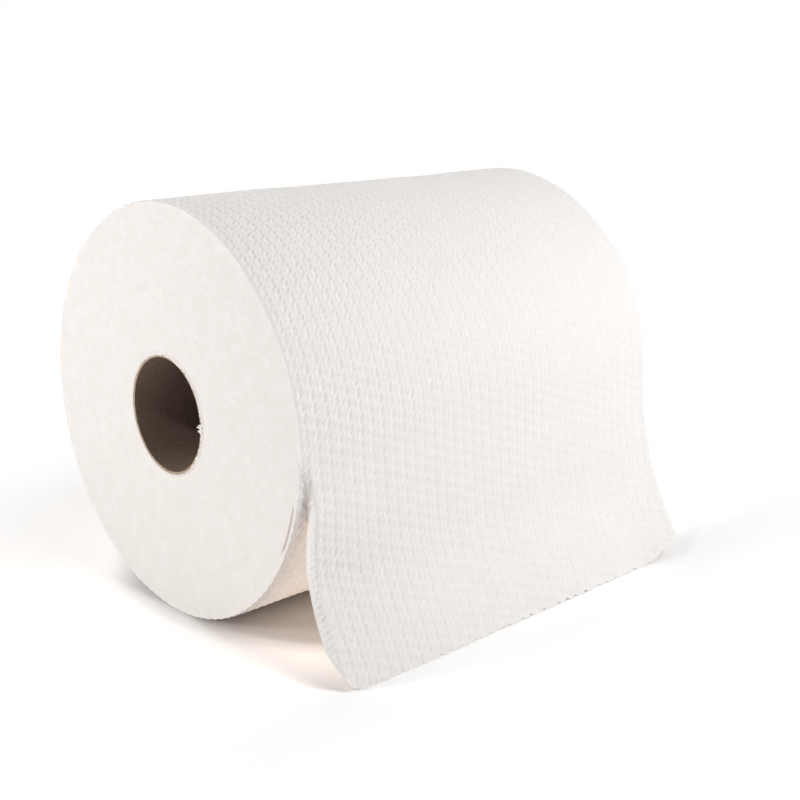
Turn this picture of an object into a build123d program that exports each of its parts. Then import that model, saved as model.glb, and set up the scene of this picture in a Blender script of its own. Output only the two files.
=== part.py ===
"""Paper towel roll: an embossed web wound on a cardboard tube, with its torn end hanging in front.

Frame, in millimetres: +X runs along the roll, +Z is up and the free end hangs on the -Y side.
The origin is on the table, at the middle of the flat spot that the soft roll rests on.
"""

import math
import os

from build123d import *

# Driving dimensions of the roll
WEB_WIDTH = 235.0
ROLL_DIAMETER = 200.0
FLAT_WIDTH = 24.0
SHEET_THICKNESS = 0.5

# Cardboard tube
CORE_BORE = 55.0
CORE_WALL = 1.4
WINDING_CLEARANCE = 0.05

# Winding lines on the two sawn ends, each standing for a band of turns
TURN_PITCH = 9.0
TURN_LINE_WIDTH = 0.9
TURN_LINE_DEPTH = 0.8

# Slack in the outermost turns, seen at the ends as thin crescents
SLACK_DEPTH = 2.6
SLACK_GAP = 1.3
SLACK_ANGLE = 200.0
SLACK_SPAN = 26.0
LOW_SLACK_DEPTH = 1.1
LOW_SLACK_GAP = 0.7
LOW_SLACK_ANGLE = 221.0
LOW_SLACK_SPAN = 12.0

# Free end of the web, from where it leaves the roll to its torn edge
LEAVE_GAP = 0.3
SHEET_REACH = 24.0
CORNER_TEAR_WIDTH = 11.5
CORNER_TEAR_HEIGHT = 18.0
CORNER_BOW_SHARE = 0.38
TOOTH_PITCH = 8.0
TOOTH_GAP_WIDTH = 2.2
TOOTH_GAP_HEIGHT = 1.6

# How the free end hangs: heights are shares of the axis height, reaches are shares of SHEET_REACH.
# Each station is a share of the web's width, its reach at each height, and the height and reach
# of its foot, which runs below the table to be trimmed there, or is lifted clear at the far corner.
HANG_HEIGHT_SHARES = (0.76, 0.62, 0.47, 0.32, 0.16)
HANG_STATION_SHARES = (
    (0.00, (0.13, 0.07, 0.09, 0.36, 0.75), -0.04, 1.12),
    (0.10, (0.09, 0.10, 0.16, 0.40, 0.74), -0.04, 1.12),
    (0.50, (0.06, 0.10, 0.19, 0.41, 0.73), -0.04, 1.11),
    (0.90, (0.05, 0.13, 0.25, 0.46, 0.76), -0.04, 1.11),
    (1.00, (0.06, 0.20, 0.38, 0.64, 0.97), 0.08, 1.14),
)
INNER_POINT_COUNT = 8

# One overrun for every cut
OVERRUN = 4.0

# Derived sizes
roll_radius = ROLL_DIAMETER / 2
half_width = WEB_WIDTH / 2
turn_step = SHEET_THICKNESS + LEAVE_GAP
lower_radius = roll_radius - turn_step * 3 / 4
upper_radius = roll_radius - turn_step / 4
axis_height = math.sqrt(lower_radius**2 - (FLAT_WIDTH / 2) ** 2)
core_radius = CORE_BORE / 2 + CORE_WALL
paper_inner_radius = core_radius + WINDING_CLEARANCE
roll_axis_plane = Plane((-half_width, 0, axis_height), x_dir=(0, 1, 0), z_dir=(1, 0, 0))


def make_core_tube():
    """The cardboard tube, sawn flush with the paper."""
    ring = Circle(core_radius) - Circle(CORE_BORE / 2)
    return extrude(roll_axis_plane * ring, WEB_WIDTH)


def spiral_outline():
    """The outermost turn as two half circles that step in by one sheet at the front."""
    lower_front = (-roll_radius + turn_step, 0)
    lower_back = (roll_radius - turn_step / 2, 0)
    upper_front = (-roll_radius, 0)
    lower_middle = (turn_step / 4, -lower_radius)
    upper_middle = (-turn_step / 4, upper_radius)
    turn = ThreePointArc(lower_front, lower_middle, lower_back)
    turn += ThreePointArc(lower_back, upper_middle, upper_front)
    turn += Line(upper_front, lower_front)
    return make_face(turn)


def slack_crescent(depth, gap, angle, span):
    """A thin crescent between two turns that have come loose, given by its outer arc and its gap."""

    def on_turn(radius, degrees):
        turn_angle = math.radians(degrees)
        return (radius * math.cos(turn_angle), radius * math.sin(turn_angle))

    outer_radius = lower_radius - depth
    first = on_turn(outer_radius, angle - span / 2)
    last = on_turn(outer_radius, angle + span / 2)
    edge = ThreePointArc(first, on_turn(outer_radius, angle), last)
    edge += ThreePointArc(last, on_turn(outer_radius - gap, angle), first)
    return make_face(edge)


def wound_body():
    """All the turns on the tube as one solid, with the slack that shows at the ends."""
    section = spiral_outline()
    section -= Circle(paper_inner_radius)
    section -= slack_crescent(SLACK_DEPTH, SLACK_GAP, SLACK_ANGLE, SLACK_SPAN)
    section -= slack_crescent(LOW_SLACK_DEPTH, LOW_SLACK_GAP, LOW_SLACK_ANGLE, LOW_SLACK_SPAN)
    return extrude(roll_axis_plane * section, WEB_WIDTH)


def hang_section(station_share, reach_shares, foot_share, foot_reach_share):
    """The cut edge of the hanging sheet at one place across the web."""
    x = (station_share - 1 / 2) * WEB_WIDTH

    def place(height_share, reach_share):
        return Vector(x, -roll_radius - reach_share * SHEET_REACH, height_share * axis_height)

    shares = list(zip(HANG_HEIGHT_SHARES, reach_shares)) + [(foot_share, foot_reach_share)]
    points = [place(1, 0)] + [place(*pair) for pair in shares]
    foot_direction = points[-1] - points[-2]
    outer = Spline(*points, tangents=[(0, 0, -1), foot_direction])

    def inward(share):
        along = outer % share
        return outer @ share + Vector(0, -along.Z, along.Y) * SHEET_THICKNESS

    inner_points = [inward(index / INNER_POINT_COUNT) for index in range(INNER_POINT_COUNT + 1)]
    inner = Spline(*inner_points, tangents=[(0, 0, -1), foot_direction])
    edges = [outer, Line(outer @ 1, inner @ 1), inner, Line(inner @ 0, outer @ 0)]
    return make_face(edges)


def hanging_sheet():
    """The free end: a thin loft that leaves the roll on a tangent and flares towards the table."""
    return loft([hang_section(*station) for station in HANG_STATION_SHARES])


def table_trim():
    """What lies below the table: it flattens the roll's underside and the sheet's foot."""
    depth = roll_radius
    reach = 2 * (roll_radius + SHEET_REACH + OVERRUN)
    width = WEB_WIDTH + 2 * OVERRUN
    return Pos(0, 0, -depth / 2) * Box(width, reach, depth)


def torn_corner():
    """The near lower corner of the sheet that went with the sheet torn off before it."""
    tear_end = (-half_width + CORNER_TEAR_WIDTH, 0)
    tear_start = (-half_width, CORNER_TEAR_HEIGHT)
    bow_x = -half_width + CORNER_TEAR_WIDTH * CORNER_BOW_SHARE
    tear = ThreePointArc(tear_start, (bow_x, CORNER_TEAR_HEIGHT * CORNER_BOW_SHARE), tear_end)
    tear += Polyline(
        tear_end,
        (-half_width + CORNER_TEAR_WIDTH, -OVERRUN),
        (-half_width - OVERRUN, -OVERRUN),
        (-half_width - OVERRUN, CORNER_TEAR_HEIGHT),
        tear_start,
    )
    return make_face(tear)


def torn_edge_cuts():
    """Gaps left by the perforation along the foot, and the near corner that tore away."""
    front = -roll_radius - SHEET_REACH - OVERRUN
    depth = (SHEET_REACH + OVERRUN) / 2 + OVERRUN
    foot_plane = Plane((0, front, 0), x_dir=(1, 0, 0), z_dir=(0, -1, 0))
    usable_width = WEB_WIDTH - CORNER_TEAR_WIDTH
    count = int(usable_width / TOOTH_PITCH) - 1
    gap = Polygon(
        (-TOOTH_GAP_WIDTH / 2, -OVERRUN),
        (TOOTH_GAP_WIDTH / 2, -OVERRUN),
        (TOOTH_GAP_WIDTH / 2, 0),
        (0, TOOTH_GAP_HEIGHT),
        (-TOOTH_GAP_WIDTH / 2, 0),
        align=None,
    )
    first_gap = -half_width + CORNER_TEAR_WIDTH + TOOTH_PITCH / 2
    cuts = Sketch() + [Pos(first_gap + index * TOOTH_PITCH, 0) * gap for index in range(count)]
    cuts += torn_corner()
    return extrude(foot_plane * cuts, -depth)


def turn_lines():
    """The winding spiral scored into both ends, as half turns about two centres."""
    lines = []
    last_radius = lower_radius - SLACK_DEPTH - SLACK_GAP - TURN_LINE_WIDTH - TURN_PITCH / 4
    half_turns = int((last_radius - paper_inner_radius) / (TURN_PITCH / 2)) - 1
    for end in (-1, 1):
        face_x = end * half_width
        for index in range(half_turns):
            side = 1 if index % 2 == 0 else -1
            centre_y = -side * TURN_PITCH / 4
            radius = last_radius - index * TURN_PITCH / 2
            start_y = centre_y + side * radius
            line = Polygon(
                (face_x - end * TURN_LINE_DEPTH, start_y),
                (face_x, start_y - TURN_LINE_WIDTH / 2),
                (face_x + end * OVERRUN, start_y - TURN_LINE_WIDTH / 2),
                (face_x + end * OVERRUN, start_y + TURN_LINE_WIDTH / 2),
                (face_x, start_y + TURN_LINE_WIDTH / 2),
                align=None,
            )
            axis = Axis((0, centre_y, axis_height), (1, 0, 0))
            lines.append(revolve(Pos(0, 0, axis_height) * line, axis, 180))
    return lines


def make_paper_roll():
    """The wound web with its free end, resting on the table."""
    paper = wound_body() + hanging_sheet()
    paper -= table_trim()
    paper -= torn_edge_cuts()
    paper -= turn_lines()
    return paper


nodes = {
    "core_tube": make_core_tube(),
    "paper_roll": make_paper_roll(),
}
os.makedirs("parts", exist_ok=True)
for name, shape in nodes.items():
    export_step(shape, f"parts/{name}.step")
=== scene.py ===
"""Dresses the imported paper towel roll: embossed web, sawn ends, cardboard tube, floor, lights and camera.

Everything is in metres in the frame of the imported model: +X runs along the roll, +Z is up, the roll rests
on the table at the origin and the free end of the web hangs on the -Y side.
A place on the web is given by x and by its run, the length of paper from the line where the sheet leaves
the roll: positive down the hanging sheet, negative back over the top and round the roll.
Angles go round the axis from +Y through +Z.
"""

import math
import random

import bmesh
import bpy
import numpy as np
from bpy.props import FloatProperty, FloatVectorProperty, IntProperty, PointerProperty
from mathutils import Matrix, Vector, noise


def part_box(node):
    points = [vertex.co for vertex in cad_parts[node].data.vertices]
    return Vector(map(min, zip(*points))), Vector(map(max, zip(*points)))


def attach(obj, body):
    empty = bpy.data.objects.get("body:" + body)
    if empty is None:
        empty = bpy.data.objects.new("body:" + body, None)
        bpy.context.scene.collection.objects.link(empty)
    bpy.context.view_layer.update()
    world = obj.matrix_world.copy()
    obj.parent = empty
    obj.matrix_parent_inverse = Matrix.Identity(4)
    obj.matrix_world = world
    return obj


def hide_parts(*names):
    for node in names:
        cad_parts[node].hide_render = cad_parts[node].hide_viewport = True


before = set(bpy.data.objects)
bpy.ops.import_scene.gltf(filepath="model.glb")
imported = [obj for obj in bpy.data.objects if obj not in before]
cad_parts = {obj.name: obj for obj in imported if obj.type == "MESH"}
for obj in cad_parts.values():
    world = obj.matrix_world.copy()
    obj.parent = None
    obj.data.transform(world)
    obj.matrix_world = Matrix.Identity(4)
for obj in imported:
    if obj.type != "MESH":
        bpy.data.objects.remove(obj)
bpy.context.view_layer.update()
core_low, core_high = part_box("core_tube")
paper_low, paper_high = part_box("paper_roll")

bl_info = {
    "name": "Paper Towel Roll",
    "version": (1, 0, 0),
    "blender": (4, 5, 0),
    "location": "View3D > Sidebar > Towel Roll",
    "description": "Dresses a packed paper towel roll with embossed paper and a cardboard tube",
    "category": "Object",
}

MM = 0.001
FULL_TURN = 2 * math.pi
SHARP_ANGLE = math.radians(50)

# The outermost turn starts at the front, under the hanging sheet, and runs below, behind and over the
# top back to the front, where the sheet leaves it
TURN_START = math.pi
TURN_END = 3 * math.pi
PERFORATION_ANGLE = math.radians(360 + 50)
TUCK_ANGLE = math.radians(5)
TUCK_DROP = 0.7 * MM
TUCK_INSET = 1.0 * MM

# Where the sheet lies on the roll, its rim reaches down past the hollows into the turns below
WOUND_LIP = 1.6 * MM

# The rims of the roll are soft: how far they are rounded off, over which width, and the run over which
# this fades to nothing where the sheet leaves the roll
RIM_DROP = 0.4 * MM
RIM_WIDTH = 1.8 * MM
RIM_FADE_RUN = 12 * MM

# Sides of a slit of the perforation, as shares of the tooth pitch, and the spread of the torn teeth: columns
# either way, and shares of the tooth height for a gap, of the gap for its neighbour, and for loose fibres
SLIT_SHARES = (0.2, 0.4)
TOOTH_SPREAD = 2
GAP_SHARES = (0.7, 1.0)
NEIGHBOUR_SHARES = (0.1, 0.8)
FIBRE_SHARES = (0, 0.12)

# Whole cells that keep the places on the web's UV map above 0
MAP_CELLS_ACROSS = 20
MAP_CELLS_ALONG = 120

# Grid of the web in each embossed cell: a column of cells is shifted by three of its five rows
CELL_COLUMNS = 6
CELL_ROWS = 5
CELL_SHIFT_SHARE = 0.6

# Waves that add up to one embossed pillow: times across, times along, strength share, phase share.
# The fine ones pinch the pillows where the grid is too coarse for them, so the material adds them.
PILLOW_WAVE_SHARES = (
    (1, 0, 0.90, 0.00),
    (1, -1, 1.15, 0.00),
    (0, 1, 0.35, 0.62),
)
FINE_WAVE_SHARES = (
    (2, 0, 0.55, 0.08),
    (0, 2, 0.36, -0.03),
    (1, 2, 0.40, 0.59),
    (1, 1, 0.25, -0.20),
    (2, 1, 0.20, 0.44),
)

# Height of the fine waves, and their strength at the near and far ends, where the sheet begins to hang
# and, as a share of that, low on the hanging sheet
FINE_HEIGHT = 0.17 * MM
FINE_NEAR_SHARE = 1.1
FINE_FAR_SHARE = 0.55
FINE_HUNG_SHARE = 0.65
FINE_LOW_SHARE = 1.55

# The embossing is crisper towards the near end of the roll, and pressed flatter at the rims and in the fold
EMBOSS_LEAN_SHARE = 0.3
EMBOSS_NEAR_SHARE = 0.4
EMBOSS_NEAR_REACH = 16 * MM
EMBOSS_RIM_SHARE = 0.85
EMBOSS_RIM_WIDTH = 2 * MM
EMBOSS_FOLD_SHARE = 0.15

# Runs between which the web comes to hang, and between which the fine waves grow strong again
HUNG_START_RUN = -25 * MM
HUNG_FULL_RUN = 8 * MM
LOW_START_RUN = 22 * MM
LOW_FULL_RUN = 60 * MM

# Slow waves of the soft paper: length across, waves in a whole turn, height, phase share
SOFT_WAVES = (
    (190 * MM, 2, 0.22 * MM, 0.1),
    (83 * MM, -5, 0.12 * MM, 0.6),
    (47 * MM, 7, 0.06 * MM, 0.3),
)

# How the sheet hangs: for each station across the web, its reach at each depth below the axis, as shares
# of the reach and of the axis height, and the depth of its foot
HANG_DEPTH_SHARES = (0.0, 0.24, 0.38, 0.53, 0.68, 0.84, 1.0)
HANG_STATION_SHARES = (0.0, 0.1, 0.5, 0.8, 0.9, 1.0)
HANG_REACH_SHARES = (
    (0.0, 0.13, 0.07, 0.07, 0.31, 0.69, 1.00),
    (0.0, 0.09, 0.10, 0.16, 0.40, 0.74, 1.04),
    (0.0, 0.06, 0.10, 0.19, 0.41, 0.73, 1.03),
    (0.0, 0.05, 0.12, 0.23, 0.44, 0.75, 1.04),
    (0.0, 0.05, 0.13, 0.25, 0.46, 0.76, 1.05),
    (0.0, 0.06, 0.20, 0.38, 0.66, 1.02, 1.40),
)
HANG_FOOT_SHARES = (1.0, 1.0, 1.0, 1.0, 1.0, 0.89)
PROFILE_STEPS = 240
TORN_ROWS_SHARE = 0.3

# The near edge of the hanging sheet is folded back towards the roll: width of the folded strip and of the
# bend in it, angle and where along the run
FOLD_WIDTH = 6.5 * MM
FOLD_BEND_WIDTH = 1.6 * MM
FOLD_TURN = math.radians(88)
FOLD_TOP_RUN = -4 * MM
FOLD_FULL_RUN = 26 * MM
FOLD_EASE_RUN = 46 * MM
FOLD_END_RUN = 98 * MM
FOLD_EASE_SHARE = 0.6
LEAST_FOLD = 0.001

# The far edge is creased along its length: distance from the edge, width, depth and where along the run
CREASE_INSET = 5 * MM
CREASE_WIDTH = 0.8 * MM
CREASE_DEPTH = 0.6 * MM
CREASE_TOP_RUN = 22 * MM
CREASE_FULL_RUN = 45 * MM

# Slack turns that show at the ends: depth below the lower turn, gap, angle and span in degrees
SLACK_GAPS = (
    (2.6 * MM, 1.3 * MM, 200, 26),
    (1.1 * MM, 0.7 * MM, 221, 12),
)
SLACK_HOLLOW = 1.6 * MM
SLACK_OPEN_SHARES = (0.5, 0.95)
SLACK_SIDE_SHARES = (0.5, 1.1)

# Grain and gloss of the paper and the board: scales per metre, shares and heights
DULL_SPECULAR = 0.15
FIBRE_MASK_SHARES = (0.38, 0.68)
MOTTLE_MASK_SHARES = (0.35, 0.65)
GRAIN_CLUMP_SHARE = 0.35
WEB_ROUGHNESS = 0.95
WEB_FIBRE_SCALE = 1400.0
WEB_MOTTLE_SCALE = 110.0
WEB_CREPE_SHARE = 0.4
WEB_GRAIN_SHARE = 0.3
END_ROUGHNESS = 0.98
END_FIBRE_SCALE = 1100.0
END_MOTTLE_SCALE = 160.0
END_MOTTLE_SHARE = 0.5
END_RING_SCALE = 900.0
END_RING_SHARE = 0.6
END_BUMP_HEIGHT = 0.35 * MM
END_BUMP_SHARE = 0.8
BOARD_ROUGHNESS = 0.85
BOARD_FIBRE_SCALE = 700.0
BOARD_MOTTLE_SCALE = 60.0
BOARD_BUMP_HEIGHT = 0.12 * MM
BOARD_BUMP_SHARE = 0.5

# Relief of the two ends: how far they lie in, the size of their dents, the rings' widths and wandering,
# and the heights of rings, dents and tufts
END_INSET = 0.25 * MM
DENT_SIZE = 30 * MM
DENT_SCALE = 1.7
TUFT_SCALE = 6
RING_WIDTH = 1.6 * MM
FINE_RING_WIDTH = 0.7 * MM
FINE_RING_SHARE = 0.6
RING_WANDER = 0.8 * MM
RING_HEIGHT = 0.10 * MM
DENT_HEIGHT = 0.14 * MM
TUFT_HEIGHT = 0.08 * MM

# Detail of the two ends
END_STEPS = 300
END_RINGS = 110
END_CROWDING_SHARE = 0.6
WINDING_PITCH = 9 * MM
WINDING_LINE_WIDTH = 0.9 * MM
WINDING_LINE_DEPTH = 0.22 * MM
WINDING_START_DEPTH = 7.05 * MM
FRAY_STEPS = 420
FRAY_ROOT = 0.9 * MM
FRAY_LEAST = 0.8 * MM
FRAY_LIFT = 0.25 * MM
FRAY_THICKNESS = 0.12 * MM
FRAY_SUNK = 0.1 * MM
FRAY_ROOT_SUNK = 0.5 * MM
CORE_STEPS = 120
AXIAL_NORMAL = 0.9

# Torn fibres over the tube's edge: shares of it that they cover at the far end, evenly and in waves, and at
# the near end, evenly, over the top and front, and at one flake, with the angles of these in degrees
FAR_COVER_SHARE = 0.35
FAR_COVER_WAVE_SHARE = 0.25
NEAR_COVER_SHARE = 0.15
TOP_COVER_SHARE = 0.55
TOP_COVER_START = (35, 80)
TOP_COVER_END = (215, 250)
FLAKE_COVER_SHARE = 1.6
FLAKE_ANGLE = 182
FLAKE_EDGE = (3, 6)

# Half the table's size, how far it lies below the roll, and the colour of the light from all round
TABLE_HALF_SIZE = 6
TABLE_DROP = 0.1 * MM
SKY_COLOUR = (1, 0.93, 0.88, 1)
WHITE = (1, 1, 1, 1)

# Round soft lamps: name, place, target, size in metres, power in watts and colour
LAMPS = (
    ("left_lamp", (-0.91, 0.32, 0.32), (-0.12, 0.0, 0.1), 0.15, 4.0, (0.965, 0.985, 1.0)),
    ("high_left_lamp", (-0.98, 0.0, 1.20), (-0.12, 0.0, 0.1), 0.08, 3.2, (1.0, 0.965, 0.93)),
    ("right_lamp", (0.34, -0.72, 0.40), (0.05, -0.1, 0.12), 0.36, 2.55, (0.94, 0.975, 1.0)),
    ("high_right_lamp", (0.15, -0.60, 0.80), (0.08, -0.1, 0.12), 0.35, 2.8, (0.94, 0.975, 1.0)),
    ("back_lamp", (0.10, 0.80, 1.00), (0.0, 0.0, 0.1), 0.70, 2.9, (1.0, 1.0, 1.0)),
)

# Soft light in the gap behind the hanging sheet, which comes through the thin paper and back off the table:
# name, place, target, width and height in metres, power in watts
GAP_LIGHTS = (
    ("through_light", (0.0, -0.0985, 0.0475), (0.0, 0.0, 0.0475), (0.22, 0.055), 0.022),
    ("table_light", (0.0, -0.065, 0.016), (0.0, 0.0, 0.114), (0.22, 0.05), 0.009),
)
GAP_LIGHT_COLOUR = (1.0, 0.82, 0.70)

# How much brighter the table looks than it is, so that it is white under plain light. Close under the roll
# its look is painted darker, a painted shade that deepens the shadow there, and it fades out between the
# two fade distances. In front of the sheet, where more light falls, it looks a little darker, and further
# out its shading fades to plain white.
NEAR_FLOOR_PAINTED_SHADE_GAIN = 0.78
FLOOR_GAIN = 1.36
FRONT_FLOOR_GAIN = 1.04
FRONT_START = 0.095
FRONT_END = 0.122
FRONT_WHITE_START = 0.128
FRONT_WHITE_END = 0.16
PAINTED_SHADE_FADE_START = 0.112
PAINTED_SHADE_FADE_END = 0.135
SURROUND_START = 0.16
SURROUND_END = 0.30


class TowelSizes(bpy.types.PropertyGroup):
    """Sizes of the roll, its embossing and its tube."""

    web_width: FloatProperty(
        name="Web width", description="Width of the paper", unit="LENGTH",
        default=core_high.x - core_low.x,
    )
    axis_height: FloatProperty(
        name="Axis height", description="Height of the roll's axis above the table", unit="LENGTH",
        default=(core_low.z + core_high.z) / 2,
    )
    turn_step: FloatProperty(
        name="Turn step", description="How far one turn lies outside the turn before it", unit="LENGTH",
        default=0.8 * MM,
    )
    roll_radius: FloatProperty(
        name="Roll radius", description="Radius where the sheet leaves the roll", unit="LENGTH",
        default=paper_high.y + 0.4 * MM,
    )
    sheet_thickness: FloatProperty(
        name="Sheet thickness", description="Thickness of the embossed paper", unit="LENGTH",
        default=0.5 * MM,
    )
    sheet_reach: FloatProperty(
        name="Sheet reach", description="How far the hanging sheet stands out at its foot", unit="LENGTH",
        default=24 * MM,
    )
    cell_pitch: FloatProperty(
        name="Cell pitch", description="Distance between columns of embossed cells", unit="LENGTH",
        default=6.12 * MM,
    )
    cell_rise: FloatProperty(
        name="Cell rise", description="Distance between embossed cells in a column", unit="LENGTH",
        default=5.69 * MM,
    )
    emboss_depth: FloatProperty(
        name="Emboss depth", description="Height of the pillows above the hollows", unit="LENGTH",
        default=0.70 * MM,
    )
    tooth_pitch: FloatProperty(
        name="Tooth pitch", description="Distance between the slits of the perforation", unit="LENGTH",
        default=8 * MM,
    )
    tooth_height: FloatProperty(
        name="Tooth height", description="Depth of the gaps that the slits leave in the torn edge",
        unit="LENGTH", default=1.6 * MM,
    )
    corner_tear_width: FloatProperty(
        name="Corner tear width", description="Width of the tear at the near corner", unit="LENGTH",
        default=11.5 * MM,
    )
    corner_tear_height: FloatProperty(
        name="Corner tear height", description="Height of the tear at the near corner", unit="LENGTH",
        default=18 * MM,
    )
    core_radius: FloatProperty(
        name="Core radius", description="Outer radius of the cardboard tube", unit="LENGTH",
        default=(core_high.z - core_low.z) / 2,
    )
    core_wall: FloatProperty(
        name="Core wall", description="Wall of the cardboard tube", unit="LENGTH", default=1.4 * MM,
    )
    ply_thickness: FloatProperty(
        name="Ply thickness", description="Thickness of the tube's inner board strip", unit="LENGTH",
        default=0.12 * MM,
    )
    ply_lead: FloatProperty(
        name="Ply lead", description="Length of tube that one turn of the board strip covers",
        unit="LENGTH", default=100 * MM,
    )
    ply_gap: FloatProperty(
        name="Ply gap", description="Gap between turns of the board strip", unit="LENGTH", default=0.4 * MM,
    )
    fray_length: FloatProperty(
        name="Fray length", description="Length of the paper fibres that stand into the bore",
        unit="LENGTH", default=1.6 * MM,
    )
    seed: IntProperty(name="Seed", description="Seed of the tears and frays", default=11)


class TowelColours(bpy.types.PropertyGroup):
    """Colours of the paper, the cardboard and the floor."""

    paper: FloatVectorProperty(
        name="Paper", description="Colour of the paper", subtype="COLOR", default=(0.90, 0.877, 0.860),
    )
    paper_shade: FloatVectorProperty(
        name="Paper shade", description="Colour of the paper's darker fibres", subtype="COLOR",
        default=(0.85, 0.815, 0.788),
    )
    board: FloatVectorProperty(
        name="Board", description="Colour of the cardboard", subtype="COLOR", default=(0.28, 0.21, 0.175),
    )
    board_shade: FloatVectorProperty(
        name="Board shade", description="Colour of the cardboard's darker fibres", subtype="COLOR",
        default=(0.21, 0.155, 0.125),
    )
    board_edge: FloatVectorProperty(
        name="Board edge", description="Colour of the tube's sawn edge", subtype="COLOR",
        default=(0.56, 0.44, 0.31),
    )
    floor: FloatVectorProperty(
        name="Floor", description="Colour of the table", subtype="COLOR", default=(0.92, 0.89, 0.865),
    )


class TowelStage(bpy.types.PropertyGroup):
    """Camera and light from all round."""

    azimuth: FloatProperty(
        name="Azimuth", description="Direction of the camera round the roll", unit="ROTATION",
        default=math.radians(-43.18),
    )
    elevation: FloatProperty(
        name="Elevation", description="Height of the camera above the horizon", unit="ROTATION",
        default=math.radians(15.27),
    )
    distance: FloatProperty(
        name="Distance", description="Distance of the camera from its target", unit="LENGTH", default=0.5861,
    )
    target: FloatVectorProperty(
        name="Target", description="Place that the camera looks at", subtype="TRANSLATION",
        default=(-0.0466, -0.0844, 0.1094),
    )
    lens: FloatProperty(name="Lens", description="Focal length in millimetres", default=57.75)
    sky: FloatProperty(name="Sky", description="Strength of the light from all round", default=0.2)


def sizes():
    return bpy.context.scene.towel_sizes


def colours():
    return bpy.context.scene.towel_colours


def smooth_step(low, high, value):
    """0 below low, 1 above high and smooth between."""
    share = np.clip((value - low) / (high - low), 0, 1)
    return share * share * (3 - 2 * share)


def smooth_between(places, values, at, level_start=False):
    """Values between given places on a smooth curve, whose slopes come from the neighbouring places."""
    places = np.asarray(places, float)
    values = np.asarray(values, float)
    slopes = np.gradient(values, places, axis=0)
    if level_start:
        slopes[0] = 0
    first = np.clip(np.searchsorted(places, at, side="right") - 1, 0, len(places) - 2)
    span = places[first + 1] - places[first]
    share = (at - places[first]) / span
    if values.ndim > 1:
        share = share[:, None]
        span = span[:, None]
    rest = 1 - share
    ends = values[first] * (1 + 2 * share) * rest**2 + values[first + 1] * (1 + 2 * rest) * share**2
    return ends + span * share * rest * (slopes[first] * rest - slopes[first + 1] * share)


# Materials


def new_node(tree, kind, inputs=None, **settings):
    """A node whose inputs are set to values or linked to the outputs of other nodes."""
    node = tree.nodes.new(kind)
    for name, value in settings.items():
        setattr(node, name, value)
    for name, value in (inputs or {}).items():
        if isinstance(value, bpy.types.NodeSocket):
            tree.links.new(value, node.inputs[name])
        else:
            node.inputs[name].default_value = value
    return node


def math_node(tree, operation, *values):
    """The result of one step of arithmetic on numbers and the outputs of other nodes."""
    return new_node(tree, "ShaderNodeMath", dict(enumerate(values)), operation=operation).outputs["Value"]


def vector_node(tree, operation, *values):
    return new_node(tree, "ShaderNodeVectorMath", dict(enumerate(values)), operation=operation)


def joined_height(tree, first, second, second_share):
    """One height plus a share of another."""
    return math_node(tree, "MULTIPLY_ADD", second, second_share, first)


def mixed_colour(tree, mask, first, second):
    """A colour between two others, by a mask."""
    return new_node(tree, "ShaderNodeMix", {0: mask, 6: first, 7: second}, data_type="RGBA").outputs[2]


def mixed_shader(tree, mask, first, second):
    """A shader between two others, by a mask."""
    return new_node(tree, "ShaderNodeMixShader", {0: mask, 1: first, 2: second}).outputs["Shader"]


def ramp_node(tree, value, start, end, first=0.0, last=1.0, kind="LINEAR"):
    """Goes from the first number to the last while a value goes from start to end."""
    limits = {"Value": value, "From Min": start, "From Max": end, "To Min": first, "To Max": last}
    return new_node(tree, "ShaderNodeMapRange", limits, interpolation_type=kind).outputs["Result"]


def paper_grain_group():
    """Fibres and soft mottling of plain paper or board, as a height and two masks."""
    group = bpy.data.node_groups.get("paper_grain")
    if group:
        return group
    group = bpy.data.node_groups.new("paper_grain", "ShaderNodeTree")
    group.interface.new_socket("Vector", in_out="INPUT", socket_type="NodeSocketVector")
    for name in ("Fibre Scale", "Mottle Scale"):
        group.interface.new_socket(name, in_out="INPUT", socket_type="NodeSocketFloat")
    for name in ("Height", "Fibres", "Mottle"):
        group.interface.new_socket(name, in_out="OUTPUT", socket_type="NodeSocketFloat")
    entry = new_node(group, "NodeGroupInput").outputs
    looks = {"Detail": 5.0, "Roughness": 0.62, "Distortion": 0.5}
    looks.update({"Vector": entry["Vector"], "Scale": entry["Fibre Scale"]})
    fibres = new_node(group, "ShaderNodeTexNoise", looks).outputs["Fac"]
    looks = {"Detail": 3.0, "Roughness": 0.5, "Vector": entry["Vector"], "Scale": entry["Mottle Scale"]}
    clumps = new_node(group, "ShaderNodeTexNoise", looks).outputs["Fac"]
    results = {
        "Height": joined_height(group, fibres, clumps, GRAIN_CLUMP_SHARE),
        "Fibres": ramp_node(group, fibres, *FIBRE_MASK_SHARES),
        "Mottle": ramp_node(group, clumps, *MOTTLE_MASK_SHARES),
    }
    new_node(group, "NodeGroupOutput", results)
    return group


def grain_outputs(tree, place, fibre_scale, mottle_scale):
    """The paper grain placed in a material, on the given coordinates."""
    inputs = {"Vector": place, "Fibre Scale": fibre_scale, "Mottle Scale": mottle_scale}
    return new_node(tree, "ShaderNodeGroup", inputs, node_tree=paper_grain_group()).outputs


def empty_material(name):
    material = bpy.data.materials.new(name)
    material.use_nodes = True
    material.node_tree.nodes.clear()
    return material, material.node_tree


def dull_shader(tree, roughness, mask, light, dark, height, bump_height, bump_share):
    """Finishes a material with one dull shader, coloured by a mask and bumped by a height."""
    relief = {"Strength": bump_share, "Distance": bump_height, "Height": height}
    looks = {
        "Base Color": mixed_colour(tree, mask, (*light, 1), (*dark, 1)),
        "Roughness": roughness,
        "Specular IOR Level": DULL_SPECULAR,
        "Normal": new_node(tree, "ShaderNodeBump", relief).outputs["Normal"],
    }
    shader = new_node(tree, "ShaderNodeBsdfPrincipled", looks)
    new_node(tree, "ShaderNodeOutputMaterial", {"Surface": shader.outputs["BSDF"]})


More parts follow.
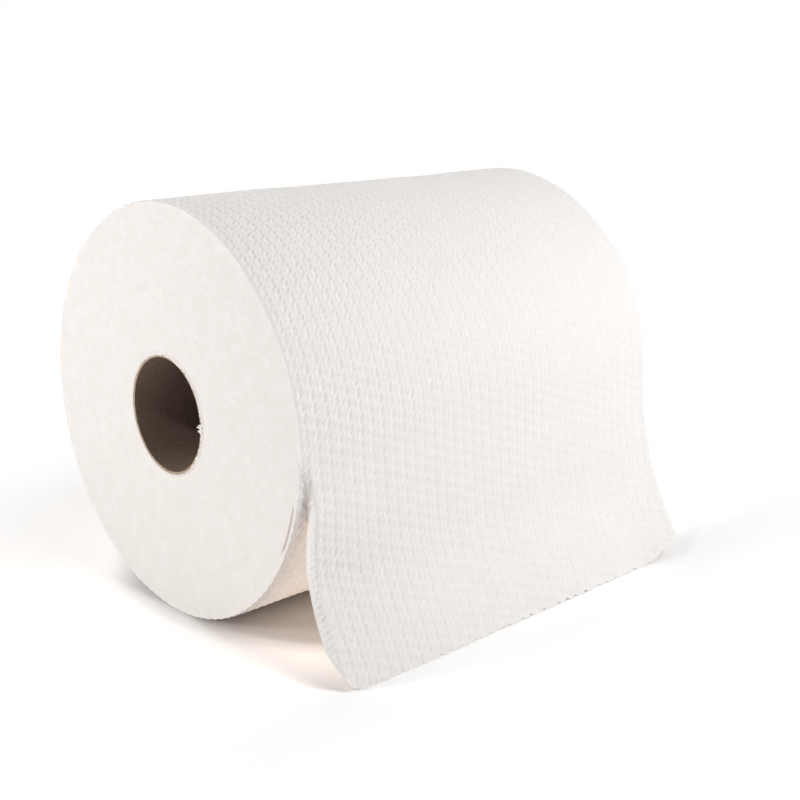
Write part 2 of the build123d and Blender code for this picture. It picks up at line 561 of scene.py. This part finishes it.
def fine_emboss(tree, place):
    """Fine waves of the embossing on the web's own map, in strength shares of the main wave."""
    total = 0
    for across, along, strength, phase in FINE_WAVE_SHARES:
        turns_across = (across + along * CELL_SHIFT_SHARE) / true_cell_pitch()
        turns_along = along / sizes().cell_rise
        direction = (FULL_TURN * turns_across, FULL_TURN * turns_along, 0)
        turns = vector_node(tree, "DOT_PRODUCT", place, direction).outputs["Value"]
        wave = math_node(tree, "COSINE", math_node(tree, "ADD", turns, FULL_TURN * phase))
        total = math_node(tree, "MULTIPLY_ADD", wave, strength, total)
    return total


def fine_share(tree, place):
    """Strength of the fine embossing: less to the far end and where the sheet begins to hang."""
    size = sizes()
    middle = MAP_CELLS_ACROSS * true_cell_pitch()
    leave = MAP_CELLS_ALONG * size.cell_rise
    ramps = (
        ("X", middle - size.web_width / 2, middle + size.web_width / 2, FINE_NEAR_SHARE, FINE_FAR_SHARE),
        ("Y", leave + HUNG_START_RUN, leave + HUNG_FULL_RUN, 1.0, FINE_HUNG_SHARE),
        ("Y", leave + LOW_START_RUN, leave + LOW_FULL_RUN, 1.0, FINE_LOW_SHARE),
    )
    split = new_node(tree, "ShaderNodeSeparateXYZ", {"Vector": place})
    total = 1
    for axis, *limits in ramps:
        total = math_node(tree, "MULTIPLY", ramp_node(tree, split.outputs[axis], *limits), total)
    return total


def web_paper():
    """Embossed towel paper: warm white and creped across the web, with loose fibres."""
    material = bpy.data.materials.get("web_paper")
    if material:
        return material
    material, tree = empty_material("web_paper")
    place = new_node(tree, "ShaderNodeUVMap", uv_map="web").outputs["UV"]
    creped = new_node(tree, "ShaderNodeMapping", {"Vector": place, "Scale": (WEB_CREPE_SHARE, 1.0, 1.0)})
    grain = grain_outputs(tree, creped.outputs["Vector"], WEB_FIBRE_SCALE, WEB_MOTTLE_SCALE)
    fine = math_node(tree, "MULTIPLY", fine_emboss(tree, place), fine_share(tree, place))
    height = joined_height(tree, fine, grain["Height"], WEB_GRAIN_SHARE)
    shades = (colours().paper, colours().paper_shade)
    dull_shader(tree, WEB_ROUGHNESS, grain["Fibres"], *shades, height, FINE_HEIGHT, 1.0)
    return material


def sawn_paper():
    """Sawn edges of the turns: fuzzy, with the fine rings of the winding."""
    material = bpy.data.materials.get("sawn_paper")
    if material:
        return material
    material, tree = empty_material("sawn_paper")
    place = new_node(tree, "ShaderNodeTexCoord").outputs["Object"]
    centre = {"Vector": place, "Location": (0, 0, -sizes().axis_height)}
    centred = new_node(tree, "ShaderNodeMapping", centre).outputs["Vector"]
    flat = vector_node(tree, "MULTIPLY", centred, (0, 1, 1)).outputs["Vector"]
    radius = vector_node(tree, "LENGTH", flat).outputs["Value"]
    looks = {"W": radius, "Scale": END_RING_SCALE, "Detail": 3.0}
    rings = new_node(tree, "ShaderNodeTexNoise", looks, noise_dimensions="1D").outputs["Fac"]
    grain = grain_outputs(tree, place, END_FIBRE_SCALE, END_MOTTLE_SCALE)
    mask = joined_height(tree, grain["Fibres"], grain["Mottle"], END_MOTTLE_SHARE)
    height = joined_height(tree, grain["Height"], rings, END_RING_SHARE)
    shades = (colours().paper, colours().paper_shade)
    dull_shader(tree, END_ROUGHNESS, mask, *shades, height, END_BUMP_HEIGHT, END_BUMP_SHARE)
    return material


def core_board(name, light, dark):
    """Grey-brown board with short fibres."""
    material = bpy.data.materials.get(name)
    if material:
        return material
    material, tree = empty_material(name)
    place = new_node(tree, "ShaderNodeTexCoord").outputs["Object"]
    grain = grain_outputs(tree, place, BOARD_FIBRE_SCALE, BOARD_MOTTLE_SCALE)
    relief = (grain["Height"], BOARD_BUMP_HEIGHT, BOARD_BUMP_SHARE)
    dull_shader(tree, BOARD_ROUGHNESS, grain["Fibres"], light, dark, *relief)
    return material


# Meshes


def finish_piece(bm, name, nodes, materials):
    """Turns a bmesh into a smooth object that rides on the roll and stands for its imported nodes."""
    mesh = bpy.data.meshes.new(name)
    bm.to_mesh(mesh)
    bm.free()
    piece = bpy.data.objects.new(name, mesh)
    bpy.context.scene.collection.objects.link(piece)
    for material in materials:
        mesh.materials.append(material)
    mesh.shade_smooth()
    mesh.set_sharp_from_angle(angle=SHARP_ANGLE)
    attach(piece, "root")
    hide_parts(*nodes)
    return piece


def row_step():
    return sizes().cell_rise / CELL_ROWS


def column_count():
    return round(sizes().web_width / sizes().cell_pitch * CELL_COLUMNS)


def true_cell_pitch():
    """Cell pitch that fits a whole number of columns of the grid across the web."""
    return sizes().web_width / column_count() * CELL_COLUMNS


def column_places():
    half = sizes().web_width / 2
    return np.linspace(-half, half, column_count() + 1)


def wound_rows(angle):
    """Rows of the grid from the line where the sheet leaves the roll back to an angle on the turn."""
    return round((TURN_END - angle) * sizes().roll_radius / row_step())


def turn_radius(angle):
    """Radius of the outermost turn, which grows by one step from its start to its end."""
    return sizes().roll_radius - sizes().turn_step * (TURN_END - angle) / FULL_TURN


def raw_pillow(column, row):
    total = 0
    for across, along, strength, phase in PILLOW_WAVE_SHARES:
        total = total + strength * np.cos(FULL_TURN * (across * column + along * row + phase))
    return total


def pillow(x, run):
    """Height of the embossing, from 0 in the hollows to 1 on the pillows."""
    cell = np.linspace(0, 1, 60)
    sample = raw_pillow(*np.meshgrid(cell, cell))
    column = x / true_cell_pitch()
    row = run / sizes().cell_rise + CELL_SHIFT_SHARE * column
    return (raw_pillow(column, row) - sample.min()) / (sample.max() - sample.min())


def emboss_share(x, run):
    """Strength of the embossing over the web."""
    half = sizes().web_width / 2
    wound = 1 - smooth_step(HUNG_START_RUN, HUNG_FULL_RUN, run)
    pressed = (1 - EMBOSS_RIM_SHARE) * smooth_step(EMBOSS_RIM_WIDTH, 0, half - np.abs(x))
    near = EMBOSS_NEAR_SHARE * np.exp(-(x + half) / EMBOSS_NEAR_REACH) * wound
    folded = smooth_step(FOLD_WIDTH, FOLD_WIDTH - FOLD_BEND_WIDTH, x + half) * (1 - wound)
    flattened = 1 - (1 - EMBOSS_FOLD_SHARE) * folded
    return (1 - pressed) * flattened * (1 - EMBOSS_LEAN_SHARE * x / half + near)


def soft_wave(x, run):
    """Slow unevenness of the paper, which the turns share."""
    total = 0
    turn = run / (FULL_TURN * sizes().roll_radius)
    for across, in_turn, height, phase in SOFT_WAVES:
        total = total + height * np.sin(FULL_TURN * (x / across + in_turn * turn + phase))
    return total


def hang_profiles(x):
    """Side profiles of the hanging sheet at each x, down to its foot: y, z and run along each."""
    size = sizes()
    station = x / size.web_width + 1 / 2
    reaches = smooth_between(HANG_STATION_SHARES, HANG_REACH_SHARES, station)
    feet = smooth_between(HANG_STATION_SHARES, HANG_FOOT_SHARES, station)
    profiles = []
    for reach, foot in zip(reaches, feet):
        depth = np.linspace(0, min(foot, 1), PROFILE_STEPS)
        out = smooth_between(HANG_DEPTH_SHARES, reach, depth, level_start=True)
        y = -size.roll_radius - out * size.sheet_reach
        z = size.axis_height * (1 - depth)
        run = np.concatenate([[0], np.cumsum(np.hypot(np.diff(y), np.diff(z)))])
        profiles.append((y, z, run))
    return profiles


def torn_away(x):
    """How much is missing from the foot of the sheet at each x: gaps of the perforation and a corner."""
    size = sizes()
    draw = random.Random(size.seed)
    missing = np.zeros(len(x))
    per_tooth = round(size.tooth_pitch / (x[1] - x[0]))
    for tooth in range(1, len(x) // per_tooth):
        column = min(tooth * per_tooth + draw.randint(-TOOTH_SPREAD, TOOTH_SPREAD), len(x) - 2)
        depth = size.tooth_height * draw.uniform(*GAP_SHARES)
        missing[column] = depth
        missing[column + 1] = max(missing[column + 1], depth * draw.uniform(*NEIGHBOUR_SHARES))
    missing += np.array([draw.uniform(*FIBRE_SHARES) for _ in x]) * size.tooth_height
    corner = np.clip(1 - (x + size.web_width / 2) / size.corner_tear_width, 0, 1)
    return missing + size.corner_tear_height * corner**2


def web_face(x, run):
    """Points of the plain web without its embossing, for a grid of runs by columns."""
    size = sizes()
    angle = TURN_END + np.minimum(run, 0) / size.roll_radius
    tucked = smooth_step(TURN_START + TUCK_ANGLE, TURN_START - TUCK_ANGLE, angle)
    rim = np.clip(1 - (size.web_width / 2 - np.abs(x)) / RIM_WIDTH, 0, 1)
    rounded = RIM_DROP * rim**2 * smooth_step(0, -RIM_FADE_RUN, run)
    radius = turn_radius(angle) - TUCK_DROP * tucked - rounded
    y = radius * np.cos(angle)
    z = size.axis_height + radius * np.sin(angle)
    hanging = run > 0
    across = x * (1 - TUCK_INSET / (size.web_width / 2) * tucked)
    if hanging.any():
        for column, (out, height, length) in enumerate(hang_profiles(x)):
            rows = hanging[:, column]
            y[rows, column] = np.interp(run[rows, column], length, out)
            z[rows, column] = np.interp(run[rows, column], length, height)
        strip = np.clip(FOLD_WIDTH - (x + size.web_width / 2), 0, FOLD_WIDTH)
        bend = np.minimum(strip, FOLD_BEND_WIDTH)
        flat = strip - bend
        eased = 1 - FOLD_EASE_SHARE * smooth_step(FOLD_EASE_RUN, FOLD_END_RUN, run)
        fold = LEAST_FOLD + FOLD_TURN * smooth_step(FOLD_TOP_RUN, FOLD_FULL_RUN, run) * eased
        bend_radius = FOLD_BEND_WIDTH / fold
        across += strip - bend_radius * np.sin(bend / bend_radius) - flat * np.cos(fold)
        y += bend_radius * (1 - np.cos(bend / bend_radius)) + flat * np.sin(fold)
        creased = np.exp(-(((x - size.web_width / 2 + CREASE_INSET) / CREASE_WIDTH) ** 2))
        y += CREASE_DEPTH * creased * smooth_step(CREASE_TOP_RUN, CREASE_FULL_RUN, run)
    return np.stack([across, y, z], axis=-1)


def web_points(x, run):
    """Points of the embossed face of the web and the outward directions of the plain web."""
    plain = web_face(x, run)
    outward = np.cross(np.gradient(plain, axis=0), np.gradient(plain, axis=1))
    outward /= np.linalg.norm(outward, axis=-1, keepdims=True)
    lift = soft_wave(x, run) - sizes().emboss_depth * emboss_share(x, run) * (1 - pillow(x, run))
    points = plain + outward * lift[..., None]
    points[..., 2] = np.maximum(points[..., 2], 0)
    return points, outward


def perforate(points, outward, row):
    """Presses the slits of the perforation into one row of the web."""
    size = sizes()
    x = points[row, :, 0]
    slit = smooth_step(*SLIT_SHARES, np.abs((x / size.tooth_pitch) % 1 - 0.5))
    points[row] -= outward[row] * (slit * size.sheet_thickness / 2)[:, None]


def moved_grid(bm, columns, rows, first_row, level):
    """A flat grid in steps of the web's columns and rows."""
    made = bmesh.ops.create_grid(bm, x_segments=columns, y_segments=rows, size=0.5)
    bmesh.ops.scale(bm, vec=(columns, rows, 1), verts=made["verts"])
    bmesh.ops.translate(bm, vec=(columns / 2, first_row + rows / 2, level), verts=made["verts"])


def flat_sheet(columns, rows, free_row):
    """A closed flat sheet in steps of columns and rows, with its face at level 0 and its back at -1.

    From free_row on, where the sheet hangs free, the back is as fine as the face. Before it the back
    lies on the roll, and its faces reach right across the web.
    """
    bm = bmesh.new()
    moved_grid(bm, columns, rows, 0, 0)
    rim = bmesh.ops.extrude_edge_only(bm, edges=[edge for edge in bm.edges if edge.is_boundary])
    rim_verts = [item for item in rim["geom"] if isinstance(item, bmesh.types.BMVert)]
    bmesh.ops.translate(bm, vec=(0, 0, -1), verts=rim_verts)
    if free_row < rows:
        moved_grid(bm, columns, rows - free_row, free_row, -1)
        bmesh.ops.remove_doubles(bm, verts=bm.verts, dist=0.1)
    last_row = min(free_row, rows) - 0.5

    def on_side(edge):
        low, high = (vert.co for vert in edge.verts)
        inside = all(0.5 < co.y < last_row for co in (low, high))
        return edge.is_boundary and inside and abs(low.x - high.x) < 0.5

    bmesh.ops.bridge_loops(bm, edges=[edge for edge in bm.edges if on_side(edge)])
    bmesh.ops.holes_fill(bm, edges=[edge for edge in bm.edges if edge.is_boundary], sides=0)
    bmesh.ops.recalc_face_normals(bm, faces=bm.faces)
    return bm


def lay_sheet(bm, points, outward, run):
    """Lays a flat sheet along the web, with its places on the web kept as a UV map in metres."""
    size = sizes()
    web_map = bm.loops.layers.uv.new("web")
    across = column_places() + MAP_CELLS_ACROSS * true_cell_pitch()
    along = run + MAP_CELLS_ALONG * size.cell_rise
    thickness = np.where(run > 0, size.sheet_thickness, WOUND_LIP)
    for face in bm.faces:
        for loop in face.loops:
            column, row = round(loop.vert.co.x), round(loop.vert.co.y)
            loop[web_map].uv = (across[column], along[row, column])
    for vert in bm.verts:
        column, row, level = (round(value) for value in vert.co)
        vert.co = points[row, column] + outward[row, column] * (level * thickness[row, column])
        vert.co.z = max(vert.co.z, 0)


def make_front_sheet():
    """The last sheet of the web, from its perforation over the top to the torn foot."""
    x = column_places()
    step = row_step()
    wound = wound_rows(PERFORATION_ANGLE)
    lengths = np.array([run[-1] for _, _, run in hang_profiles(x)])
    free = round(lengths.max() / step)
    run = np.repeat(step * np.arange(-wound, free + 1)[:, None], len(x), axis=1)
    whole = step * free
    torn_from = whole * (1 - TORN_ROWS_SHARE)
    stretch = (lengths - torn_away(x) - torn_from) / (whole - torn_from)
    run = np.where(run > torn_from, torn_from + (run - torn_from) * stretch, run)
    points, outward = web_points(x, run)
    perforate(points, outward, 0)
    bm = flat_sheet(len(x) - 1, len(run) - 1, wound)
    lay_sheet(bm, points, outward, run)
    return bm, whole + step * wound


def make_outer_turn():
    """The rest of the outermost turn, from the perforation back under the roll to the front."""
    x = column_places()
    wound = wound_rows(PERFORATION_ANGLE)
    last = wound_rows(TURN_START - TUCK_ANGLE)
    run = np.repeat(row_step() * np.arange(-last, -wound + 1)[:, None], len(x), axis=1)
    points, outward = web_points(x, run)
    perforate(points, outward, len(run) - 1)
    bm = flat_sheet(len(x) - 1, len(run) - 1, len(run) - 1)
    lay_sheet(bm, points, outward, run)
    return bm


def spun_strip(steps, cuts):
    """A flat ring from radius 1 to 2 about the X axis, with cuts between its edges."""
    bm = bmesh.new()
    edge = bm.edges.new([bm.verts.new((0, radius, 0)) for radius in (1, 2)])
    bmesh.ops.subdivide_edges(bm, edges=[edge], cuts=cuts)
    bmesh.ops.spin(
        bm, geom=bm.verts[:] + bm.edges[:], cent=(0, 0, 0), axis=(1, 0, 0), angle=FULL_TURN,
        steps=steps, use_merge=True,
    )
    bmesh.ops.remove_doubles(bm, verts=bm.verts, dist=0.0001)
    return bm


def lower_radius():
    """Mean radius of the lower half of the outermost turn."""
    return sizes().roll_radius - sizes().turn_step * 3 / 4


def slack_hollow(radius, angle):
    """How far the end falls in at the gaps between slack turns."""
    hollow = 0
    for depth, gap, middle, span in SLACK_GAPS:
        along = (math.degrees(angle) % 360 - middle) / (span / 2)
        open_share = 1 - along * along
        if open_share > 0:
            width = gap * open_share
            across = abs(radius - lower_radius() + depth + width / 2) / (width / 2)
            depth_share = smooth_step(*SLACK_OPEN_SHARES, open_share)
            depth_share *= 1 - smooth_step(*SLACK_SIDE_SHARES, across)
            hollow = max(hollow, float(depth_share))
    return hollow * SLACK_HOLLOW


def winding_line(y, z):
    """Share of depth of the winding line that scores the end, as half turns about two centres."""
    upper = z > 0
    centre = -WINDING_PITCH / 4 if upper else WINDING_PITCH / 4
    offset = 0 if upper else WINDING_PITCH / 2
    first = lower_radius() - WINDING_START_DEPTH
    turn = (math.hypot(y - centre, z) - first + offset) / WINDING_PITCH
    away = abs(turn - round(turn)) * WINDING_PITCH
    return float(1 - smooth_step(0, WINDING_LINE_WIDTH, away))


def end_outer_radius(angle):
    """Radius of the sawn end, inside the outermost turn and flat at the table."""
    size = sizes()
    turn = angle % FULL_TURN
    wound = turn if turn >= TURN_START else turn + FULL_TURN
    leaving = size.turn_step * float(smooth_step(TURN_END - TUCK_ANGLE, TURN_END, wound))
    radius = turn_radius(wound) - leaving - size.sheet_thickness - RIM_DROP
    down = -math.sin(angle)
    if down > 0:
        radius = min(radius, (size.axis_height - size.sheet_thickness - RIM_DROP) / down)
    return radius


def end_relief(radius, angle, side):
    """How far the sawn end lies inside its plane, from its rings, dents and slack turns."""
    y = radius * math.cos(angle)
    z = radius * math.sin(angle)
    place = Vector((y, z, side)) / DENT_SIZE
    strength = 0.5 + 0.5 * noise.noise(place + Vector((3, 7, side)))
    uneven = radius + RING_WANDER * noise.noise(place)
    rings = noise.noise(Vector((uneven / RING_WIDTH, side * 9, 0)))
    rings += FINE_RING_SHARE * noise.noise(Vector((uneven / FINE_RING_WIDTH, side * 5, 4)))
    dents = noise.noise(place * DENT_SCALE + Vector((11, 2, side)))
    tufts = noise.noise(place * TUFT_SCALE + Vector((5, 3, side)))
    relief = END_INSET + RING_HEIGHT * strength * rings + DENT_HEIGHT * dents + TUFT_HEIGHT * tufts
    return relief + WINDING_LINE_DEPTH * strength * winding_line(y, z) + slack_hollow(radius, angle)


def make_end(side):
    """One sawn end of the wound paper, from the tube to the outermost turn."""
    size = sizes()
    inner = size.core_radius
    bm = spun_strip(END_STEPS, END_RINGS - 1)
    for vert in bm.verts:
        share = math.hypot(vert.co.y, vert.co.z) - 1
        angle = math.atan2(vert.co.z, vert.co.y)
        crowded = share * (1 + END_CROWDING_SHARE) - END_CROWDING_SHARE * share * share
        radius = inner + (end_outer_radius(angle) - inner) * crowded
        inside = end_relief(radius, angle, side)
        if share > 1 - 0.5 / END_RINGS or share < 0.5 / END_RINGS:
            inside += 2 * size.turn_step
        x = side * (size.web_width / 2 - inside)
        vert.co = (x, radius * math.cos(angle), size.axis_height + radius * math.sin(angle))
    bm.normal_update()
    middle = [face for face in bm.faces if abs(face.normal.x) > AXIAL_NORMAL]
    if middle[0].normal.x * side < 0:
        bmesh.ops.reverse_faces(bm, faces=bm.faces)
    return bm


def spun_section(corners, turns, lead=0):
    """Corners, each an x and a radius, joined in a loop and spun about the X axis, moving on by the lead."""
    bm = bmesh.new()
    loop = [bm.verts.new((x, radius, 0)) for x, radius in corners]
    edges = [bm.edges.new((loop[index - 1], loop[index])) for index in range(len(loop))]
    bmesh.ops.spin(
        bm, geom=loop + edges, cent=(0, 0, 0), axis=(1, 0, 0), angle=turns * FULL_TURN,
        steps=turns * CORE_STEPS, dvec=(lead / CORE_STEPS, 0, 0), use_merge=lead == 0,
    )
    return bm


def make_core():
    """The cardboard tube: a wound wall lined with one board strip whose turns leave a fine gap."""
    size = sizes()
    half = size.web_width / 2
    bore = size.core_radius - size.core_wall
    lining = bore + size.ply_thickness
    corners = ((-half, lining), (half, lining), (half, size.core_radius), (-half, size.core_radius))
    bm = spun_section(corners, 1)
    bmesh.ops.remove_doubles(bm, verts=bm.verts, dist=0.01 * MM)
    turns = math.ceil(size.web_width / size.ply_lead) + 2
    start = -turns / 2 * size.ply_lead - size.ply_lead / 2
    width = size.ply_lead - size.ply_gap
    corners = ((start, bore), (start + width, bore), (start + width, lining), (start, lining))
    strip = spun_section(corners, turns, size.ply_lead)
    for end in (-1, 1):
        geometry = strip.verts[:] + strip.edges[:] + strip.faces[:]
        bmesh.ops.bisect_plane(
            strip, geom=geometry, plane_co=(end * half, 0, 0), plane_no=(end, 0, 0), clear_outer=True,
        )
    bmesh.ops.holes_fill(strip, edges=[edge for edge in strip.edges if edge.is_boundary], sides=0)
    scratch = bpy.data.meshes.new("board_strip")
    strip.to_mesh(scratch)
    strip.free()
    bm.from_mesh(scratch)
    bpy.data.meshes.remove(scratch)
    bmesh.ops.translate(bm, vec=(0, 0, size.axis_height), verts=bm.verts)
    bmesh.ops.recalc_face_normals(bm, faces=bm.faces)
    for face in bm.faces:
        face.material_index = 1 if abs(face.normal.x) > AXIAL_NORMAL else 0
    return bm


def fray_cover(angle, side):
    """How much of the tube's sawn edge the torn fibres cover at an angle, from 0 to 1."""
    degrees = math.degrees(angle) % 360
    if side > 0:
        return FAR_COVER_SHARE + FAR_COVER_WAVE_SHARE * math.sin(3 * angle)
    top = float(smooth_step(*TOP_COVER_START, degrees) * (1 - smooth_step(*TOP_COVER_END, degrees)))
    flake = float(1 - smooth_step(*FLAKE_EDGE, abs(degrees - FLAKE_ANGLE)))
    return NEAR_COVER_SHARE + TOP_COVER_SHARE * top + FLAKE_COVER_SHARE * flake


def make_fray(side):
    """Loose fibres and torn shreds of the innermost turn, which stand over the edge of the tube."""
    size = sizes()
    draw = random.Random(size.seed + side)
    bm = spun_strip(FRAY_STEPS, 2)
    jag = [draw.random() for _ in range(FRAY_STEPS)]
    face_x = size.web_width / 2
    for vert in bm.verts:
        share = math.hypot(vert.co.y, vert.co.z) - 1
        angle = math.atan2(vert.co.z, vert.co.y)
        index = round(angle / FULL_TURN * FRAY_STEPS) % FRAY_STEPS
        clump = 0.5 + 0.5 * noise.noise(Vector((index * 0.21, side * 5, 0)))
        length = size.fray_length * fray_cover(angle, side) * (0.25 + 0.75 * jag[index] * clump * 2)
        root = size.core_radius + FRAY_ROOT
        radius = root - share * (FRAY_LEAST + length)
        lift = FRAY_LIFT * math.sin(math.pi * share) + FRAY_LIFT * share * (jag[index] - 0.3)
        sunk = FRAY_SUNK + FRAY_ROOT_SUNK * (1 - share) ** 2
        x = side * (face_x - sunk + lift)
        vert.co = (x, radius * math.cos(angle), size.axis_height + radius * math.sin(angle))
    bmesh.ops.recalc_face_normals(bm, faces=bm.faces)
    bmesh.ops.solidify(bm, geom=bm.faces[:], thickness=FRAY_THICKNESS)
    return bm


# Stage


def add_lamp(name, place, target, size, power, colour):
    light = bpy.data.lights.new(name, "AREA")
    light.shape = "DISK"
    light.size = size
    light.energy = power
    light.color = colour
    lamp = bpy.data.objects.new(name, light)
    lamp.location = place
    lamp.rotation_euler = (Vector(target) - Vector(place)).to_track_quat("-Z", "Y").to_euler()
    lamp.visible_camera = False
    bpy.context.scene.collection.objects.link(lamp)


def add_gap_light(name, place, target, size, power):
    """A flat soft light behind the hanging sheet, cast on the underside of the roll."""
    add_lamp(name, place, target, size[0], power, GAP_LIGHT_COLOUR)
    light = bpy.data.lights[name]
    light.shape = "RECTANGLE"
    light.size_y = size[1]


def seen_directly(tree):
    """1 for rays of the camera and for what gloss and glass show, 0 for rays that only carry light."""
    path = new_node(tree, "ShaderNodeLightPath").outputs
    seen = path["Is Camera Ray"]
    for name in ("Is Glossy Ray", "Is Transmission Ray"):
        seen = math_node(tree, "MAXIMUM", seen, path[name])
    return seen


def floor_material():
    """A pale table that looks white where nothing shades it, with painted shade close under the roll."""
    material, tree = empty_material("pale_table")
    place = new_node(tree, "ShaderNodeTexCoord").outputs["Object"]
    distance = vector_node(tree, "LENGTH", place).outputs["Value"]
    forward = vector_node(tree, "DOT_PRODUCT", place, (0, -1, 0)).outputs["Value"]

    def beyond(measure, start, end):
        return ramp_node(tree, measure, start, end, kind="SMOOTHSTEP")

    # Painted shade: close under the roll the table is shown darker than its light makes it
    painted_shade_gain = (*[value * NEAR_FLOOR_PAINTED_SHADE_GAIN for value in colours().floor], 1)
    floor_gain = (FLOOR_GAIN, FLOOR_GAIN, FLOOR_GAIN, 1)
    front_gain = (FRONT_FLOOR_GAIN, FRONT_FLOOR_GAIN, FRONT_FLOOR_GAIN, 1)
    gain = mixed_colour(tree, beyond(distance, PAINTED_SHADE_FADE_START, PAINTED_SHADE_FADE_END), painted_shade_gain, floor_gain)
    gain = mixed_colour(tree, beyond(forward, FRONT_START, FRONT_END), gain, front_gain)
    plain = new_node(tree, "ShaderNodeBsdfDiffuse", {"Color": (*colours().floor, 1)})
    bright = new_node(tree, "ShaderNodeBsdfDiffuse", {"Color": gain})
    white = new_node(tree, "ShaderNodeEmission", {"Color": WHITE, "Strength": 1.0})
    far = beyond(distance, SURROUND_START, SURROUND_END)
    far_front = beyond(forward, FRONT_WHITE_START, FRONT_WHITE_END)
    away = math_node(tree, "MAXIMUM", far, far_front)
    surround = mixed_shader(tree, away, bright.outputs["BSDF"], white.outputs["Emission"])
    shown = mixed_shader(tree, seen_directly(tree), plain.outputs["BSDF"], surround)
    new_node(tree, "ShaderNodeOutputMaterial", {"Surface": shown})
    return material


def make_world(sky):
    """Even light from all round, which the camera sees as white."""
    world = bpy.data.worlds.new("studio")
    bpy.context.scene.world = world
    world.use_nodes = True
    tree = world.node_tree
    tree.nodes.clear()
    light = new_node(tree, "ShaderNodeBackground", {"Color": SKY_COLOUR, "Strength": sky}).outputs[0]
    white = new_node(tree, "ShaderNodeBackground", {"Color": WHITE, "Strength": 1.0}).outputs[0]
    shown = mixed_shader(tree, seen_directly(tree), light, white)
    new_node(tree, "ShaderNodeOutputWorld", {"Surface": shown})


class TOWEL_OT_front_sheet(bpy.types.Operator):
    """Add the last sheet, which lies over the top of the roll and hangs down in front"""

    bl_idname = "towel.front_sheet"
    bl_label = "Front Sheet"

    def execute(self, context):
        bm, length = make_front_sheet()
        piece = finish_piece(bm, "front_sheet", ["paper_roll"], [web_paper()])
        return {"FINISHED"}


class TOWEL_OT_outer_turn(bpy.types.Operator):
    """Add the rest of the outermost turn of the roll"""

    bl_idname = "towel.outer_turn"
    bl_label = "Outer Turn"

    def execute(self, context):
        finish_piece(make_outer_turn(), "outer_turn", ["paper_roll"], [web_paper()])
        return {"FINISHED"}


class TOWEL_OT_sawn_ends(bpy.types.Operator):
    """Add the two sawn ends of the wound paper, with the frayed paper at the tube"""

    bl_idname = "towel.sawn_ends"
    bl_label = "Sawn Ends"

    def execute(self, context):
        for side, end in ((-1, "near"), (1, "far")):
            finish_piece(make_end(side), f"{end}_end", ["paper_roll"], [sawn_paper()])
            finish_piece(make_fray(side), f"{end}_fray", ["paper_roll"], [sawn_paper()])
        return {"FINISHED"}


class TOWEL_OT_core(bpy.types.Operator):
    """Add the cardboard tube that the paper is wound on"""

    bl_idname = "towel.core"
    bl_label = "Core"

    def execute(self, context):
        palette = colours()
        wall = core_board("core_board", palette.board, palette.board_shade)
        edge = core_board("core_edge", palette.board_edge, palette.board)
        finish_piece(make_core(), "core_board", ["core_tube"], [wall, edge])
        return {"FINISHED"}


class TOWEL_OT_stage(bpy.types.Operator):
    """Add the table, the lamps and the camera"""

    bl_idname = "towel.stage"
    bl_label = "Stage"

    def execute(self, context):
        stage = context.scene.towel_stage
        bm = bmesh.new()
        bmesh.ops.create_grid(bm, x_segments=1, y_segments=1, size=TABLE_HALF_SIZE)
        bmesh.ops.translate(bm, vec=(0, 0, -TABLE_DROP), verts=bm.verts)
        mesh = bpy.data.meshes.new("table")
        bm.to_mesh(mesh)
        bm.free()
        mesh.materials.append(floor_material())
        table = bpy.data.objects.new("table", mesh)
        context.scene.collection.objects.link(table)
        make_world(stage.sky)
        for lamp in LAMPS:
            add_lamp(*lamp)
        for light in GAP_LIGHTS:
            add_gap_light(*light)
        camera_data = bpy.data.cameras.new("camera")
        camera_data.lens = stage.lens
        camera = bpy.data.objects.new("camera", camera_data)
        flat = math.cos(stage.elevation)
        back = Vector((math.sin(stage.azimuth) * flat, -math.cos(stage.azimuth) * flat,
                       math.sin(stage.elevation)))
        camera.location = Vector(stage.target) + back * stage.distance
        camera.rotation_euler = (-back).to_track_quat("-Z", "Y").to_euler()
        context.scene.collection.objects.link(camera)
        context.scene.camera = camera
        context.scene.view_settings.view_transform = "Standard"
        return {"FINISHED"}


OPERATORS = (
    TOWEL_OT_front_sheet,
    TOWEL_OT_outer_turn,
    TOWEL_OT_sawn_ends,
    TOWEL_OT_core,
    TOWEL_OT_stage,
)


class TOWEL_PT_panel(bpy.types.Panel):
    """Lists the pieces of the roll and their sizes and colours"""

    bl_idname = "TOWEL_PT_panel"
    bl_label = "Towel Roll"
    bl_space_type = "VIEW_3D"
    bl_region_type = "UI"
    bl_category = "Towel Roll"

    def draw(self, context):
        for operator in OPERATORS:
            self.layout.operator(operator.bl_idname)
        for group in (context.scene.towel_sizes, context.scene.towel_colours, context.scene.towel_stage):
            box = self.layout.box()
            for name in group.__annotations__:
                box.prop(group, name)


GROUPS = (
    ("towel_sizes", TowelSizes),
    ("towel_colours", TowelColours),
    ("towel_stage", TowelStage),
)


def register():
    for name, group in GROUPS:
        bpy.utils.register_class(group)
        setattr(bpy.types.Scene, name, PointerProperty(type=group))
    for operator in OPERATORS:
        bpy.utils.register_class(operator)
    bpy.utils.register_class(TOWEL_PT_panel)


def unregister():
    bpy.utils.unregister_class(TOWEL_PT_panel)
    for operator in reversed(OPERATORS):
        bpy.utils.unregister_class(operator)
    for name, group in reversed(GROUPS):
        delattr(bpy.types.Scene, name)
        bpy.utils.unregister_class(group)


def main():
    register()
    bpy.ops.towel.outer_turn()
    bpy.ops.towel.front_sheet()
    bpy.ops.towel.sawn_ends()
    bpy.ops.towel.core()
    bpy.ops.towel.stage()


if __name__ == "__main__":
    main()
